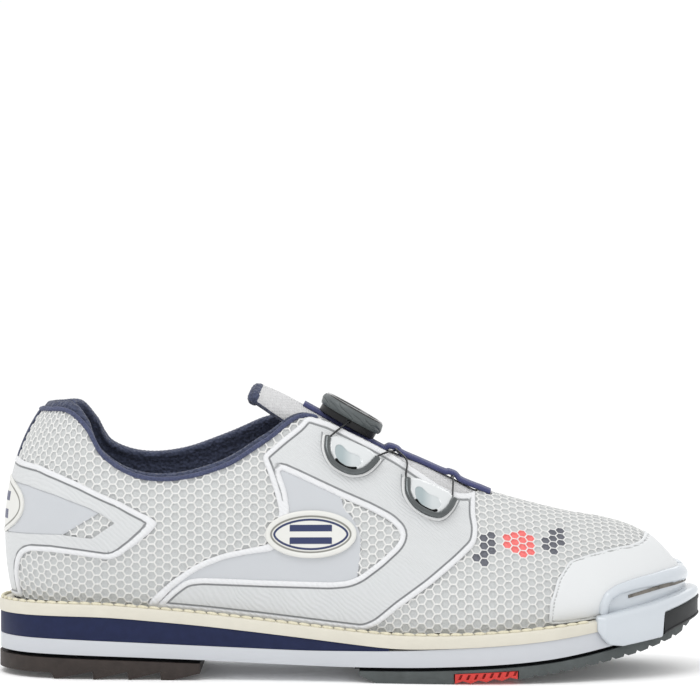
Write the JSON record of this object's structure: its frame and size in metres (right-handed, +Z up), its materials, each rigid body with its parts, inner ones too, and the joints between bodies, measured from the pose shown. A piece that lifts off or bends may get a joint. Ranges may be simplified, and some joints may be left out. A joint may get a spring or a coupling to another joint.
{
  "type": "bowling shoe",
  "caption": "Low bowling shoe with knitted upper, dial-tightened lace, rubber-capped toe and hook-and-loop changeable sole and heel.",
  "frame": {"origin": "centre of the shoe's box on the floor it stands on", "axes": "+X towards the toe, +Y towards the inner side of the foot, +Z up, outer side at -Y"},
  "size_m": [0.3068, 0.0999, 0.1245],
  "materials": {
    "white_eva": "moulded foam, satin",
    "navy_eva": "moulded foam, satin",
    "cream_welt": "stitched rubber strip",
    "board": "pressed fibre board",
    "steel": "plain steel",
    "sock_fabric": "brushed knit on foam",
    "stiffener": "thermoplastic sheet",
    "mesh_white": "honeycomb knitted mesh",
    "lining_navy": "knitted lining",
    "foam": "open-cell foam",
    "knit_navy": "ribbed knit",
    "knit_white": "white knit with fine dashes",
    "frame_white": "welded film with engraved lines",
    "film": "smooth welded film",
    "badge_navy": "soft moulded patch",
    "leather_white": "smooth white leather",
    "tpu_toe": "glossy urethane",
    "rubber_black": "abrasion rubber",
    "webbing_navy": "woven strap",
    "guide_plastic": "hard nylon",
    "lace_steel": "coated stranded steel",
    "dial_black": "moulded nylon",
    "dial_rubber": "ribbed rubber",
    "dial_grey": "satin metallic",
    "hook_black": "hook and loop",
    "rubber_grey": "sole rubber",
    "rubber_red": "sole rubber",
    "rubber_brown": "heel rubber"
  },
  "bodies": {
    "shoe": {"midsole_base": "white_eva", "midsole_wedge": "navy_eva", "welt": "cream_welt", "insole_board": "board", "shank": "steel", "sockliner": "sock_fabric", "heel_counter": "stiffener", "toe_puff": "stiffener", "vamp_mesh": "mesh_white", "quarter_mesh": "mesh_white", "vamp_lining": "lining_navy", "quarter_lining": "lining_navy", "tongue_lining": "lining_navy", "collar_foam": "foam", "tongue_foam": "foam", "collar_binding": "knit_navy", "tongue_face": "knit_white", "heel_frame": "frame_white", "side_frame_lateral": "frame_white", "side_frame_medial": "frame_white", "side_film_lateral": "film", "side_film_medial": "film", "heel_badge": "badge_navy", "side_badge_lateral": "badge_navy", "side_badge_medial": "badge_navy", "toe_cap": "leather_white", "toe_guard": "tpu_toe", "toe_rand": "tpu_toe", "toe_bumper": "rubber_black", "tongue_strap": "webbing_navy", "lace_guide_1l": "guide_plastic", "lace_guide_2l": "guide_plastic", "lace_guide_1m": "guide_plastic", "lace_guide_2m": "guide_plastic", "lace": "lace_steel", "dial_base": "dial_black", "sole_hook_pad": "hook_black", "heel_hook_pad": "hook_black"},
    "spool": {"dial_spool": "steel"},
    "knob": {"dial_pawls": "dial_black", "dial_core": "dial_black", "dial_grip": "dial_rubber", "dial_cap": "dial_grey"},
    "sole": {"sole_loop_pad": "hook_black", "outsole": "rubber_grey", "traction_insert": "rubber_red"},
    "heel": {"heel_loop_pad": "hook_black", "heel_tread": "rubber_brown"}
  },
  "joints": [
    {"name": "dial_turn", "type": "hinge", "parent": "shoe", "child": "spool", "pos_m": [-0.0017, 0.0018, 0.1075], "axis": [0.4924, 0, 0.8704], "continuous": true},
    {"name": "knob_pull", "type": "slide", "parent": "spool", "child": "knob", "axis": [0.4924, 0, 0.8704], "range_m": [0, 0.002]},
    {"name": "sole_release", "type": "slide", "parent": "shoe", "child": "sole", "axis": [0, 0, -1], "range_m": [0, 0.03]},
    {"name": "heel_release", "type": "slide", "parent": "shoe", "child": "heel", "axis": [0, 0, -1], "range_m": [0, 0.03]}
  ]
}
